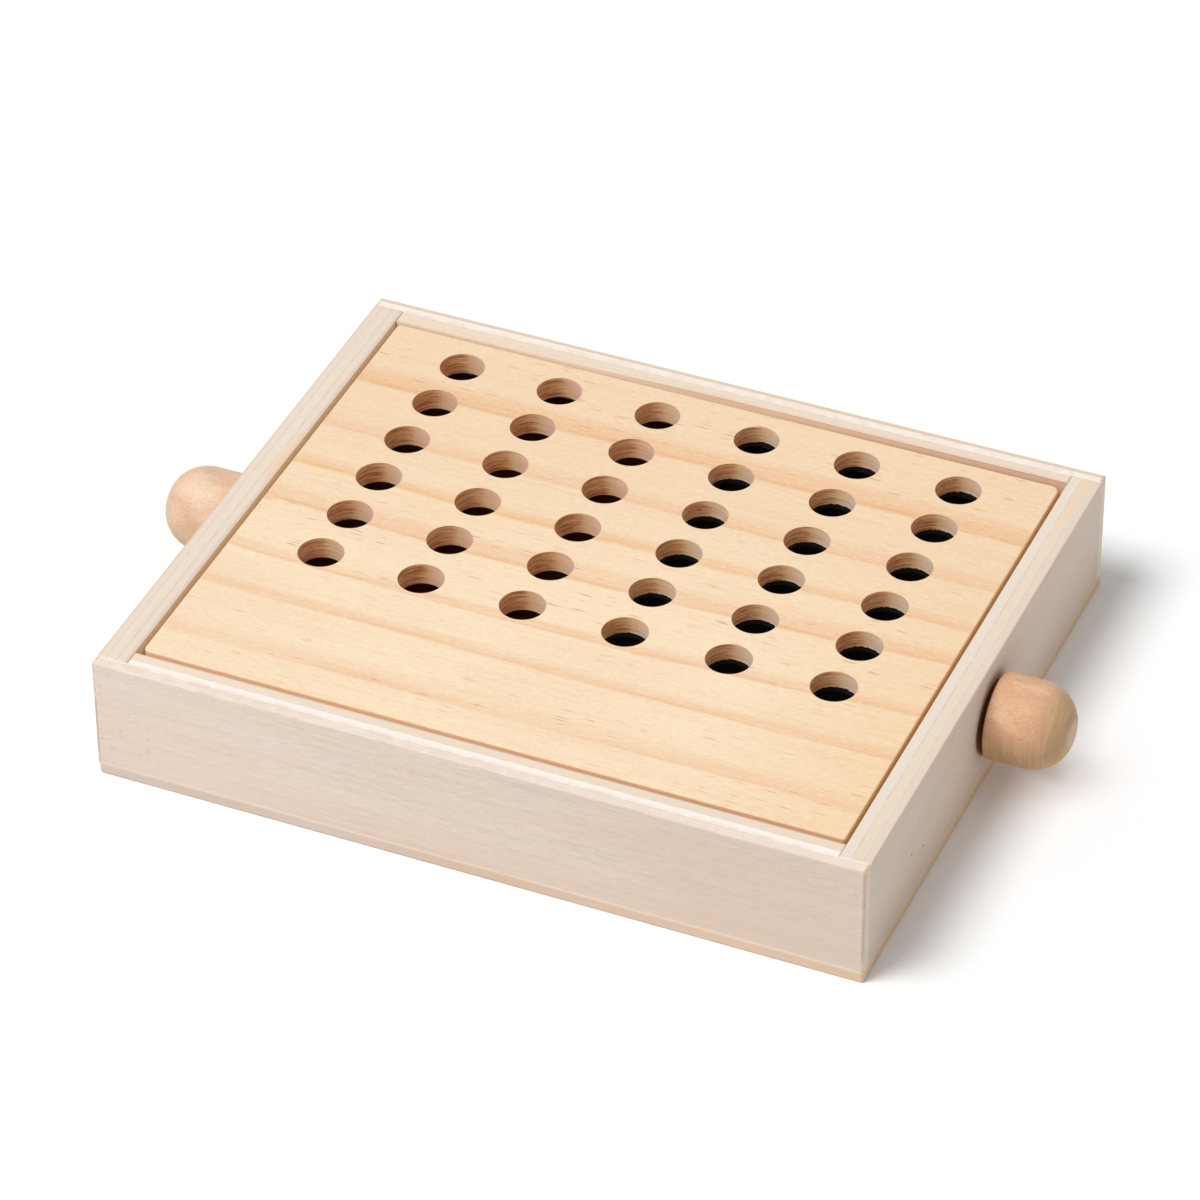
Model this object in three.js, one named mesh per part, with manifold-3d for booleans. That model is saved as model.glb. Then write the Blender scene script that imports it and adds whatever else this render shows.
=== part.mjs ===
// Four in a row game: a plywood box whose pine game board lies flush in its mouth.
// Two turned knobs on dowels pass through the box's ends. In play the board stands upright
// between the dowels, foot down. For storage it lies flat on two ledges over the discs.
// Millimetres. +X runs along the box, +Y to the back, +Z up. The origin is on the underside,
// below the middle of the box.
import * as THREE from 'three';
import { mergeVertices } from 'three/addons/utils/BufferGeometryUtils.js';
import Module from 'manifold-3d';

const wasm = await Module();
wasm.setup();

// Box
const boxLength = 265;
const boxDepth = 220;
const boxHeight = 45;
const wallThickness = 10.5;
const floorThickness = 4;
const tongueThickness = 4.4;
const ledgeThickness = 8;

// Game board: two pine plates with strips between them
const boardRecess = 0.4;
const boardCornerRadius = 1.5;
const facePlateThickness = 8.2;
const rearPlateThickness = 3.8;
const channelHeight = 4.8;
const outerStripWidth = 19;

// Viewing holes
const columns = 6;
const rows = 6;
const holeDiameter = 15.4;

// Playing discs
const discDiameter = 22.3;
const discThickness = 4;

// Knobs and their dowels
const knobDiameter = 29.2;
const knobLength = 26;
const knobDomeLength = 13.2;
const knobTipDiameter = 4.6;
const knobChamfer = 0.7;
const dowelDiameter = 6;
const dowelChamfer = 0.7;
const dowelInKnob = 14;
const dowelReach = 10;
const dowelSetback = 2;

// Clearances
const glueLine = 0.1;
const boardEndGap = 1.4;
const boardFrontGap = 2.15;
const boardBackGap = 1.05;
const dowelBoardClearance = 0.3;
const boreClearance = 0.2;
const boreEndClearance = 1.2;
const discStackClearance = 0.2;
const discSideClearance = 0.9;
const discRimMargin = 3.4;
const discLyingClearance = 0.1;
const knobStandOff = 2;
const cutOverrun = 1;

// Smoothness
const arcSteps = 12;
const cornerSteps = 4;
const knobSides = 32;
const domeSteps = 8;
const dowelSides = 24;
const discSides = 20;

// Box places
const innerLength = boxLength - 2 * wallThickness;
const innerDepth = boxDepth - 2 * wallThickness;
const wallBottom = floorThickness + glueLine;
const boardTop = boxHeight - boardRecess;
const boardThickness = facePlateThickness + rearPlateThickness + channelHeight + 2 * glueLine;
const boardUnderside = boardTop - boardThickness;

// Board places: the columns share what the outer strips leave. The rows lie a disc apart,
// the first one a disc radius inside the open edge.
const boardLength = innerLength - 2 * boardEndGap;
const boardDepth = innerDepth - boardFrontGap - boardBackGap;
const boardSetback = (boardFrontGap - boardBackGap) / 2;
const channelWidth = discDiameter + discSideClearance;
const columnPitch = (boardLength - 2 * outerStripWidth - channelWidth) / (columns - 1);
const rowPitch = discDiameter + discStackClearance;
const firstRow = boardDepth / 2 - discRimMargin - discDiameter / 2;
const lastRow = firstRow - (rows - 1) * rowPitch;
const channelEnd = lastRow - rowPitch / 2;
const stripWidth = columnPitch - channelWidth;
const stripLength = boardDepth / 2 - channelEnd - glueLine;
const footDepth = boardDepth / 2 + channelEnd;
const facePlateBottom = boardTop - facePlateThickness;
const corePlaneBottom = facePlateBottom - glueLine - channelHeight;

// Dowel places
const dowelRadius = dowelDiameter / 2;
const boreRadius = dowelRadius + boreClearance;
const dowelAxisHeight = boardUnderside - dowelBoardClearance - dowelRadius;
const dowelLength = dowelInKnob + knobStandOff + wallThickness + dowelReach;
const dowelOverlapWithBoard = dowelReach + knobStandOff - boardEndGap;
const boardBoreDepth = dowelOverlapWithBoard + boreEndClearance;
const boreAboveFoot = dowelAxisHeight - floorThickness;

// Solids and meshes
function toSolid(geometry) {
  const bare = geometry.clone();
  bare.deleteAttribute('normal');
  bare.deleteAttribute('uv');
  const merged = mergeVertices(bare);
  const vertProperties = new Float32Array(merged.attributes.position.array);
  const triVerts = new Uint32Array(merged.index.array);
  return new wasm.Manifold(new wasm.Mesh({ numProp: 3, vertProperties, triVerts }));
}

function cutFrom(geometry, cutters) {
  const start = toSolid(geometry);
  const left = cutters.reduce((solid, cutter) => solid.subtract(toSolid(cutter)), start);
  const mesh = left.getMesh();
  const result = new THREE.BufferGeometry();
  result.setAttribute('position', new THREE.BufferAttribute(mesh.vertProperties, 3));
  result.setIndex(new THREE.BufferAttribute(mesh.triVerts, 1));
  return result;
}

function piece(name, geometry, look) {
  const mesh = new THREE.Mesh(geometry, new THREE.MeshStandardMaterial(look));
  mesh.name = name;
  return mesh;
}

function block(name, [length, depth, height], [x, y, bottom], look) {
  const mesh = piece(name, new THREE.BoxGeometry(length, depth, height), look);
  mesh.position.set(x, y, bottom + height / 2);
  return mesh;
}

// Finishes
const paleBirch = { color: 0xe2d0bc, roughness: 0.75, metalness: 0 };
const floorPly = { color: 0xd2b795, roughness: 0.8, metalness: 0 };
const pine = { color: 0xf0d9b0, roughness: 0.6, metalness: 0 };
const stripPine = { color: 0xd9b98c, roughness: 0.75, metalness: 0 };
const turnedBeech = { color: 0xd4a87c, roughness: 0.5, metalness: 0 };
const dowelBeech = { color: 0xcfa67b, roughness: 0.6, metalness: 0 };
const lightStain = { color: 0xe8cf9f, roughness: 0.5, metalness: 0 };
const darkStain = { color: 0x5d3a22, roughness: 0.5, metalness: 0 };

// Box: the front and back panels run the full length. Their ends are cut back to a tongue
// that covers the end grain of the side panels.
function longPanelOutline() {
  const end = boxLength / 2;
  const shoulder = innerLength / 2;
  const outer = boxDepth / 2;
  const tongue = outer - tongueThickness;
  const inner = innerDepth / 2;
  return new THREE.Shape([
    new THREE.Vector2(-end, outer),
    new THREE.Vector2(-end, tongue),
    new THREE.Vector2(-shoulder, tongue),
    new THREE.Vector2(-shoulder, inner),
    new THREE.Vector2(shoulder, inner),
    new THREE.Vector2(shoulder, tongue),
    new THREE.Vector2(end, tongue),
    new THREE.Vector2(end, outer),
  ]);
}

function longPanel(name, turn) {
  const depth = boxHeight - wallBottom;
  const shape = new THREE.ExtrudeGeometry(longPanelOutline(), { depth, bevelEnabled: false });
  const panel = piece(name, shape, paleBirch);
  panel.position.z = wallBottom;
  panel.rotation.z = turn;
  return panel;
}

// A side panel is drawn in the Y-Z plane with the dowel's bore through it.
function sidePanel(name, side) {
  const halfDepth = boxDepth / 2 - tongueThickness - glueLine;
  const outline = new THREE.Shape([
    new THREE.Vector2(-halfDepth, wallBottom),
    new THREE.Vector2(halfDepth, wallBottom),
    new THREE.Vector2(halfDepth, boxHeight),
    new THREE.Vector2(-halfDepth, boxHeight),
  ]);
  const bore = new THREE.Path();
  bore.absarc(dowelSetback, dowelAxisHeight, boreRadius, 0, 2 * Math.PI, true);
  outline.holes.push(bore);
  const depth = wallThickness - glueLine;
  const shape = new THREE.ExtrudeGeometry(outline, {
    depth,
    curveSegments: arcSteps,
    bevelEnabled: false,
  });
  shape.rotateX(Math.PI / 2);
  shape.rotateZ(Math.PI / 2);
  shape.translate(side > 0 ? innerLength / 2 + glueLine : -boxLength / 2, 0, 0);
  return piece(name, shape, paleBirch);
}

function ledge(name, side) {
  const length = innerLength - 2 * glueLine;
  const height = boardUnderside - glueLine - wallBottom;
  const y = side * (innerDepth / 2 - glueLine - ledgeThickness / 2);
  return block(name, [length, ledgeThickness, height], [0, y, wallBottom], stripPine);
}

function makeBox() {
  const box = new THREE.Group();
  box.add(block('bottom_panel', [boxLength, boxDepth, floorThickness], [0, 0, 0], floorPly));
  box.add(longPanel('back_panel', 0));
  box.add(longPanel('front_panel', Math.PI));
  box.add(sidePanel('left_panel', -1));
  box.add(sidePanel('right_panel', 1));
  box.add(ledge('front_ledge', -1));
  box.add(ledge('back_ledge', 1));
  return box;
}

// Game board: a plate's outline has softly rounded corners and one hole for each place.
function plateOutline() {
  const x = boardLength / 2 - boardCornerRadius;
  const y = boardDepth / 2 - boardCornerRadius;
  const corners = [[x, y], [-x, y], [-x, -y], [x, -y]];
  const points = corners.flatMap(([cornerX, cornerY], quarter) => {
    const start = quarter * Math.PI / 2;
    const end = start + Math.PI / 2;
    const r = boardCornerRadius;
    return new THREE.EllipseCurve(cornerX, cornerY, r, r, start, end).getPoints(cornerSteps);
  });
  return new THREE.Shape(points);
}

function columnX(column) {
  return (column - (columns - 1) / 2) * columnPitch;
}

function plateGeometry(bottom, thickness) {
  const outline = plateOutline();
  for (let column = 0; column < columns; column += 1) {
    for (let row = 0; row < rows; row += 1) {
      const hole = new THREE.Path();
      const y = firstRow - row * rowPitch;
      hole.absarc(columnX(column), y, holeDiameter / 2, 0, 2 * Math.PI, true);
      outline.holes.push(hole);
    }
  }
  const geometry = new THREE.ExtrudeGeometry(outline, {
    depth: thickness,
    curveSegments: arcSteps,
    bevelEnabled: false,
  });
  return geometry.translate(0, 0, bottom);
}

// The dowels' bores enter the board's ends beside its foot, as far above the foot's edge as
// the dowels lie above the box's floor.
function boardBore(side) {
  const length = boardBoreDepth + cutOverrun;
  const bore = new THREE.CylinderGeometry(boreRadius, boreRadius, length, dowelSides);
  bore.rotateZ(Math.PI / 2);
  const x = side * (boardLength / 2 + cutOverrun - length / 2);
  const y = boreAboveFoot - boardDepth / 2;
  return bore.translate(x, y, corePlaneBottom + channelHeight / 2);
}

function boardPiece(name, geometry, look) {
  return piece(name, cutFrom(geometry, [boardBore(-1), boardBore(1)]), look);
}

function channelStrip(name, width, x) {
  const y = boardDepth / 2 - stripLength / 2;
  return block(name, [width, stripLength, channelHeight], [x, y, corePlaneBottom], stripPine);
}

function footStrip() {
  const geometry = new THREE.BoxGeometry(boardLength, footDepth, channelHeight);
  const y = (footDepth - boardDepth) / 2;
  geometry.translate(0, y, corePlaneBottom + channelHeight / 2);
  return boardPiece('foot_strip', geometry, stripPine);
}

function makeBoard() {
  const board = new THREE.Group();
  const facePlate = plateGeometry(facePlateBottom, facePlateThickness);
  const rearPlate = plateGeometry(boardUnderside, rearPlateThickness);
  board.add(boardPiece('face_plate', facePlate, pine));
  board.add(boardPiece('rear_plate', rearPlate, pine));
  board.add(footStrip());
  const outerX = (boardLength - outerStripWidth) / 2;
  board.add(channelStrip('left_strip', outerStripWidth, -outerX));
  board.add(channelStrip('right_strip', outerStripWidth, outerX));
  for (let column = 1; column < columns; column += 1) {
    const x = (columnX(column - 1) + columnX(column)) / 2;
    board.add(channelStrip(`divider_${column}`, stripWidth, x));
  }
  board.position.y = boardSetback;
  return board;
}

// Knobs: a straight barrel with a chamfered foot and a domed end that stops at a small flat.
// The dome's quarter is an ellipse from the barrel to the flat.
function knobProfile() {
  const barrel = knobDiameter / 2;
  const tip = knobTipDiameter / 2;
  const domeStart = knobLength - knobDomeLength;
  const dome = new THREE.EllipseCurve(
    tip, domeStart, barrel - tip, knobDomeLength, 0, Math.PI / 2,
  ).getPoints(domeSteps);
  return [
    new THREE.Vector2(0, dowelInKnob + boreClearance),
    new THREE.Vector2(boreRadius, dowelInKnob + boreClearance),
    new THREE.Vector2(boreRadius, 0),
    new THREE.Vector2(barrel - knobChamfer, 0),
    new THREE.Vector2(barrel, knobChamfer),
    ...dome,
    new THREE.Vector2(0, knobLength),
  ];
}

function dowelProfile() {
  const start = dowelInKnob;
  const end = dowelInKnob - dowelLength;
  return [
    new THREE.Vector2(0, end),
    new THREE.Vector2(dowelRadius - dowelChamfer, end),
    new THREE.Vector2(dowelRadius, end + dowelChamfer),
    new THREE.Vector2(dowelRadius, start),
    new THREE.Vector2(0, start),
  ];
}

// A knob and its dowel are turned on one axis, which then points out of the box's end.
function makeKnob(side, name) {
  const knob = new THREE.Group();
  const cap = new THREE.LatheGeometry(knobProfile(), knobSides);
  const dowel = new THREE.LatheGeometry(dowelProfile(), dowelSides);
  knob.add(piece(`${name}_knob`, cap, turnedBeech));
  knob.add(piece(`${name}_dowel`, dowel, dowelBeech));
  knob.rotation.z = -side * Math.PI / 2;
  const x = side * (boxLength / 2 + knobStandOff);
  knob.position.set(x, dowelSetback, dowelAxisHeight);
  return knob;
}

// Discs: they lie side by side between the ledges, one kind under each half of the board.
function makeDiscs() {
  const discs = new THREE.Group();
  const storePitch = (innerDepth - 2 * ledgeThickness) / rows;
  const perKind = columns * rows / 2;
  for (let index = 0; index < columns * rows; index += 1) {
    const column = Math.floor(index / rows);
    const row = index % rows;
    const light = index < perKind;
    const number = String(light ? index + 1 : index + 1 - perKind).padStart(2, '0');
    const radius = discDiameter / 2;
    const shape = new THREE.CylinderGeometry(radius, radius, discThickness, discSides);
    const look = light ? lightStain : darkStain;
    const disc = piece(`${light ? 'light' : 'dark'}_disc_${number}`, shape, look);
    disc.rotation.x = Math.PI / 2;
    const y = (row - (rows - 1) / 2) * storePitch;
    const z = floorThickness + discLyingClearance + discThickness / 2;
    disc.position.set(columnX(column), y, z);
    discs.add(disc);
  }
  return discs;
}

const game = new THREE.Group();
game.add(makeBox(), makeBoard(), makeKnob(-1, 'left'), makeKnob(1, 'right'), makeDiscs());

export default game;
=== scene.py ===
"""Four in a row game: a plywood box with a pine game board lying flush in its mouth, two
turned knobs on dowels through its ends, and 36 discs under the board.

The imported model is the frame: metres, +X along the box, +Y to the back, +Z up, with the
origin on the underside. Lengths below are in millimetres until a mesh is made.
"""
import math

import bmesh
import bpy
import numpy as np
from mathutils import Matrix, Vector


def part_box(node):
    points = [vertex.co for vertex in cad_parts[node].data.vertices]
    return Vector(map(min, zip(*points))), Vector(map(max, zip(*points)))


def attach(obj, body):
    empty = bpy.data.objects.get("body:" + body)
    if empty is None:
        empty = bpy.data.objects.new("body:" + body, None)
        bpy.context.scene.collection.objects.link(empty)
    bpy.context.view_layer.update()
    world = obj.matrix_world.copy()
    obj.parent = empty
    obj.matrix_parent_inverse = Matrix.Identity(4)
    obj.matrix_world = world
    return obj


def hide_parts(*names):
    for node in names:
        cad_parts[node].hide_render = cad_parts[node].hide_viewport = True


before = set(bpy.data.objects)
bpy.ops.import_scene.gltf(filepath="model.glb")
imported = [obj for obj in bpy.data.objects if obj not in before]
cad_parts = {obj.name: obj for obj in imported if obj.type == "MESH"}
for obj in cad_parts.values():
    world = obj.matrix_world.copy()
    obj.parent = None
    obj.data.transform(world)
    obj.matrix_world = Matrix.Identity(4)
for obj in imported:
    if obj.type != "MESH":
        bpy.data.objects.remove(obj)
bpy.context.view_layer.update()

bl_info = {
    "name": "Four in a row game",
    "version": (1, 0, 0),
    "blender": (4, 5, 0),
    "location": "3D View > Sidebar > Game",
    "description": "Builds the finished pieces of a wooden four in a row game",
    "category": "Object",
}

MM = 0.001
QUARTER = math.pi / 2
WHITE = (1, 1, 1, 1)


def node_box(name):
    """The lowest and highest corner of a CAD node, in millimetres."""
    low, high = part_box(name)
    return np.array(low) / MM, np.array(high) / MM


def srgb(red, green, blue):
    """A colour written as 0 to 255 display values, as scene linear numbers."""
    value = np.array([red, green, blue]) / 255
    linear = np.where(value <= 0.04045, value / 12.92, ((value + 0.055) / 1.055) ** 2.4)
    return tuple(float(part) for part in linear)


# Places that the pieces share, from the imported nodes
PLATE_LOW, PLATE_HIGH = node_box("face_plate")
REAR_LOW, REAR_HIGH = node_box("rear_plate")
BOX_LOW, BOX_HIGH = node_box("bottom_panel")
SIDE_HIGH = node_box("right_panel")[1]
KNOB_LOW, KNOB_HIGH = node_box("right_knob")
DOWEL_LOW, DOWEL_HIGH = node_box("right_dowel")

# Game board
COLUMNS = 6
ROWS = 6
COLUMN_PITCH = 36.0
ROW_PITCH = 22.5
HOLE_RADIUS = 7.7
DISC_DIAMETER = 22.3
DISCS_FROM_MOUTH = 3.4
FIRST_ROW = PLATE_HIGH[1] - DISCS_FROM_MOUTH - DISC_DIAMETER / 2
CHANNEL_HALF_SPAN = 101.6
CHANNEL_END = node_box("foot_strip")[1][1]
BORE_RADIUS = 3.2
BORE_DEPTH = 11.8
BORE_ABOVE_FOOT = 20.3
# Depth down the holes' walls where the painted shade begins, in the left and the right columns
LEFT_SHADE_DEPTH = 8.6
RIGHT_SHADE_DEPTH = 6.5
# Each corner's share of the corner radius: left front and back, then right front and back
CORNER_SHARES = ((1.6, 0.8), (0.6, 2.0))
# Growth lines on the face: place across the board, strength, length of the fade
GROWTH_LINES = (
    (-84.0, 0.48, 9.0), (-55.9, 0.6, 6.0), (-34.1, 0.66, 7.0), (-5.6, 0.75, 9.0),
    (13.9, 0.8, 6.0), (35.6, 0.6, 8.0), (63.7, 1.0, 11.0),
)
# Their sag: its middle along and across the board, its reach, width and depth
SAG_X, SAG_Y, SAG_REACH, SAG_WIDTH, SAG_DEPTH = -25.0, -22.0, 125.0, 28.0, 5.5
# How far the lines shift across for each millimetre down
LINES_LEAN = 13.0
# How thickly the resin dashes lie across the board's face, by place
DASH_BANDS = (
    (-97.0, 0.3), (-80.0, 1.0), (-68.0, 0.7), (-60.0, 0.15), (-42.0, 0.25), (-30.0, 0.9),
    (-14.0, 1.0), (6.0, 0.8), (14.0, 0.15), (30.0, 0.35), (52.0, 0.15), (66.0, 0.5),
    (76.0, 1.0), (90.0, 0.8),
)
# Bands and lines lie within this reach of the board's middle
BAND_REACH = 110.0
# Rims with a torn fibre: column, row, angle about the hole, length, lift and turn aside
TORN_FIBRES = (
    (0, 0, 2.8, 1.6, 0.6, 0.4), (3, 0, -1.9, 2.4, 0.0, 0.5), (3, 0, -2.1, 1.5, 0.1, -0.3),
    (3, 2, -2.4, 3.2, 0.2, -0.5), (3, 2, 1.2, 1.4, 0.6, 0.5), (2, 3, -1.2, 2.0, 0.0, 0.4),
    (4, 4, -0.9, 2.6, 0.0, -0.5), (4, 4, -1.3, 1.6, 0.1, 0.4), (5, 1, 2.2, 1.3, 0.5, -0.4),
    (1, 5, -0.7, 1.4, 0.2, 0.3),
)
FIBRE_RADIUS = 0.12
FIBRE_TAPER = 0.85
# A fibre's reach inward and its drop, as shares of its length, and its start below the face
FIBRE_REACH, FIBRE_DROP, FIBRE_START = 0.7, 0.5, 0.5
BAR_CORNER, BAR_EDGE = 0.35, 0.15

# Box
PANEL_THICKNESS = 10.5
SIDE_PANEL_THICKNESS = 10.4
TONGUE_THICKNESS = 4.4
TIGHT_EDGE = 0.12
LEDGE_EDGE = 0.4
SHEET_EDGE = 0.6
HIDDEN_EDGE = 0.05
# The lap that keeps the walls and the bottom sheet closed at their joints
JOINT_LAP = 0.08
# The axis that a wall faces along
SIDE, LONG = 0, 1
# Dark flecks on the right face: place to the back and height
FACE_FLECKS = ((-69.0, 20.2), (-58.5, 15.8))

# Pegs
KNOB_RADIUS = (KNOB_HIGH[2] - KNOB_LOW[2]) / 2
DOME_LENGTH = 13.2
TIP_RADIUS = 2.3
KNOB_FOOT_EDGE = 0.8
KNOB_BORE_DEPTH = 14.2
DOWEL_TIP_EDGE = 0.7
AXIS_HEIGHT = (DOWEL_LOW[2] + DOWEL_HIGH[2]) / 2
AXIS_SETBACK = (DOWEL_LOW[1] + DOWEL_HIGH[1]) / 2

# Stage: the main lamps' direction from the object, and the floor's white to the camera
KEY_WAY = (-0.24, -0.24, 0.62)
FLOOR_WHITE = (0.985, 0.985, 0.985, 1)
FLOOR_REACH, FLOOR_LEVEL = 4000, -0.05

# Smoothness
ARC_STEPS = 4
ROUND_STEPS = 5
DOME_STEPS = 24
HOLE_SIDE_STEPS = 16
KNOB_SIDES = 96
ROD_SIDES = 48
HOLD = 0.35
POLE_RADIUS = 0.4
MERGE_DISTANCE = 0.003
SHARP_ANGLE = math.radians(52)
BUMP_DEPTH = 0.0002


# Settings


def length_setting(name, description, default, least):
    """A length that a user may change, given in millimetres."""
    return bpy.props.FloatProperty(
        name=name, description=description, default=default * MM, min=least * MM,
        unit="LENGTH")


def colour_setting(name, description, red, green, blue):
    """A colour that a user may change, given as 0 to 255 display values."""
    return bpy.props.FloatVectorProperty(
        name=name, description=description, default=srgb(red, green, blue),
        subtype="COLOR", min=0, max=1)


class BoardSettings(bpy.types.PropertyGroup):
    """Sizes and colours of the game board."""

    arris: length_setting("Arris", "Rounding of the plates' outer edges", 0.45, 0.1)
    rim: length_setting("Hole rim", "Rounding of the viewing holes' rims", 0.06, 0.02)
    corner: length_setting("Corner", "Radius of the plates' corners seen from above", 1.5, 0.8)
    pale: colour_setting("Early wood", "Colour between the growth lines", 250, 227, 194)
    line: colour_setting("Late wood", "Colour of the growth lines", 236, 186, 140)
    resin: colour_setting("Resin", "Colour of the short resin dashes", 206, 128, 86)
    # Painted shade: the colour that stands for the dark inside the channels
    hollow: colour_setting(
        "Channel", "Colour inside the channels between the plates", 88, 38, 22)


class BoxSettings(bpy.types.PropertyGroup):
    """Sizes and colours of the box."""

    arris: length_setting("Arris", "Rounding of the walls' top edges", 0.45, 0.1)
    corner: length_setting("Corner", "Rounding of the box's upright corners", 0.45, 0.2)
    worn_corner: length_setting(
        "Worn corner", "Radius of the bottom sheet's front left corner", 1.4, 0.2)
    veneer: colour_setting("Veneer", "Colour of the plywood's outer layers", 241, 223, 207)
    core: colour_setting("Core", "Colour of the plywood's bright middle layer", 254, 244, 234)
    inner: colour_setting(
        "Inner layers", "Colour of the plywood's inner layers", 239, 221, 200)
    sheet: colour_setting("Bottom sheet", "Colour of the bottom sheet", 235, 214, 200)


class PegSettings(bpy.types.PropertyGroup):
    """Colours of the turned knobs and their dowels."""

    knob: colour_setting("Knob", "Colour of the turned knobs", 218, 170, 132)
    knob_pale: colour_setting(
        "Paler knob", "Colour of the paler wood of the left knob", 234, 204, 176)
    dowel: colour_setting("Dowel", "Colour of the dowels", 226, 188, 150)


class DiscSettings(bpy.types.PropertyGroup):
    """Sizes and colours of the playing discs."""

    rounding: length_setting("Rounding", "Rounding of the discs' edges", 0.9, 0.1)
    light: colour_setting("Light disc", "Colour of the natural discs", 240, 212, 170)
    dark: colour_setting("Dark disc", "Colour of the stained discs", 104, 62, 38)


class StageSettings(bpy.types.PropertyGroup):
    """The camera's place, the lamps' levels and the floor's colour."""

    camera_place: bpy.props.FloatVectorProperty(
        name="Camera place", description="Where the camera stands",
        default=(0.612717, -1.420540, 1.236979), subtype="TRANSLATION", unit="LENGTH")
    camera_turn: bpy.props.FloatVectorProperty(
        name="Camera turn", description="The camera's Euler angles",
        default=tuple(math.radians(angle) for angle in (52.076, 0.279, 23.221)),
        subtype="EULER", unit="ROTATION")
    lens: bpy.props.FloatProperty(
        name="Lens", description="Focal length for a 36 mm wide picture, in millimetres",
        default=180.03, min=1)
    sky: bpy.props.FloatProperty(
        name="Sky", description="Level of the even light from all around",
        default=0.40, min=0)
    key: bpy.props.FloatProperty(
        name="Key lamps", description="What the main lamps add on a face turned to them",
        default=0.71, min=0)
    key_spread: bpy.props.FloatProperty(
        name="Key spread", description="How wide the main lamps look from the object",
        default=math.radians(27), min=0, subtype="ANGLE")
    knob_shade: bpy.props.FloatProperty(
        name="Knob shade", description="Share of the main lamps' light that a knob blocks",
        default=0.25, min=0, max=1, subtype="FACTOR")
    floor: bpy.props.FloatVectorProperty(
        name="Floor", description="Colour of the floor",
        default=(0.86, 0.86, 0.86), subtype="COLOR", min=0, max=1)


# Meshes: a shape is its points in millimetres, its faces and its marks by name


def make_piece(name, shape, material, body, slot, *nodes):
    """Put a shape into a closed, outward-facing mesh.

    Points of neighbouring patches that coincide are merged, the normals are worked out
    afresh, and each mark becomes a float attribute with one value per point. The piece
    rides on the body and stands for the CAD nodes.
    """
    points, faces, marks = shape
    mesh = bpy.data.meshes.new(name)
    mesh.from_pydata(np.asarray(points) * MM, [], faces)
    for key, values in marks.items():
        layer = mesh.attributes.new(key, "FLOAT", "POINT")
        layer.data.foreach_set("value", np.asarray(values, np.float32).ravel())
    shell = bmesh.new()
    shell.from_mesh(mesh)
    bmesh.ops.remove_doubles(shell, verts=shell.verts, dist=MERGE_DISTANCE * MM)
    bmesh.ops.recalc_face_normals(shell, faces=shell.faces)
    shell.to_mesh(mesh)
    shell.free()
    mesh.shade_smooth()
    mesh.set_sharp_from_angle(angle=SHARP_ANGLE)
    mesh.materials.append(material)
    piece = bpy.data.objects.new(name, mesh)
    bpy.context.scene.collection.objects.link(piece)
    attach(piece, body)
    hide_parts(*nodes)


def band_faces(rings, count, start=0):
    """Quads between neighbouring closed rings of count points each."""
    ring = np.arange(rings - 1)[:, None] * count + start
    here = np.arange(count)[None, :]
    after = (here + 1) % count
    quads = np.stack([ring + here, ring + after, ring + count + after,
                      ring + count + here], -1)
    return quads.reshape(-1, 4).tolist()


def tube_faces(rings, count, start=0):
    """The same quads, with a flat face that closes each end."""
    last = start + (rings - 1) * count
    return band_faces(rings, count, start) + [
        list(range(start, start + count))[::-1], list(range(last, last + count))]


def at_heights(flat, heights):
    """Rings of flat points (ring, point, axis), each lifted to its own height."""
    level = np.broadcast_to(np.asarray(heights)[:, None, None], (*flat.shape[:2], 1))
    return np.concatenate([flat, level], -1).reshape(-1, 3)


def rectangle(low, high):
    """The four corners of a rectangle, anticlockwise."""
    return [(low[0], low[1]), (high[0], low[1]), (high[0], high[1]), (low[0], high[1])]


def round_over(size, steps=ARC_STEPS):
    """A quarter circle that eases an edge, as how far in and how far along each ring lies.

    In is size (1 - sin t) and along is size (1 - cos t), with t up to a quarter turn.
    """
    t = np.linspace(0, QUARTER, steps + 1)
    return size * (1 - np.sin(t)), size * (1 - np.cos(t))


def edge_profile(low, high, low_arris, high_arris):
    """Inset, height and mark of the rings from the lower face round both edges to the upper.

    Each edge is a quarter circle. A ring on each side of it holds the flats flat.
    """
    low_in, low_up = round_over(low_arris)
    high_in, high_down = round_over(high_arris)
    inset = np.concatenate([
        [low_arris + HOLD], low_in, [0, 0], high_in[::-1], [high_arris + HOLD]])
    height = np.concatenate([
        [low], low + low_up, [low + low_arris + HOLD, high - high_arris - HOLD],
        high - high_down[::-1], [high]])
    return inset, height, np.tile(np.pad(np.ones(ARC_STEPS + 1), 1), 2)


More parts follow.
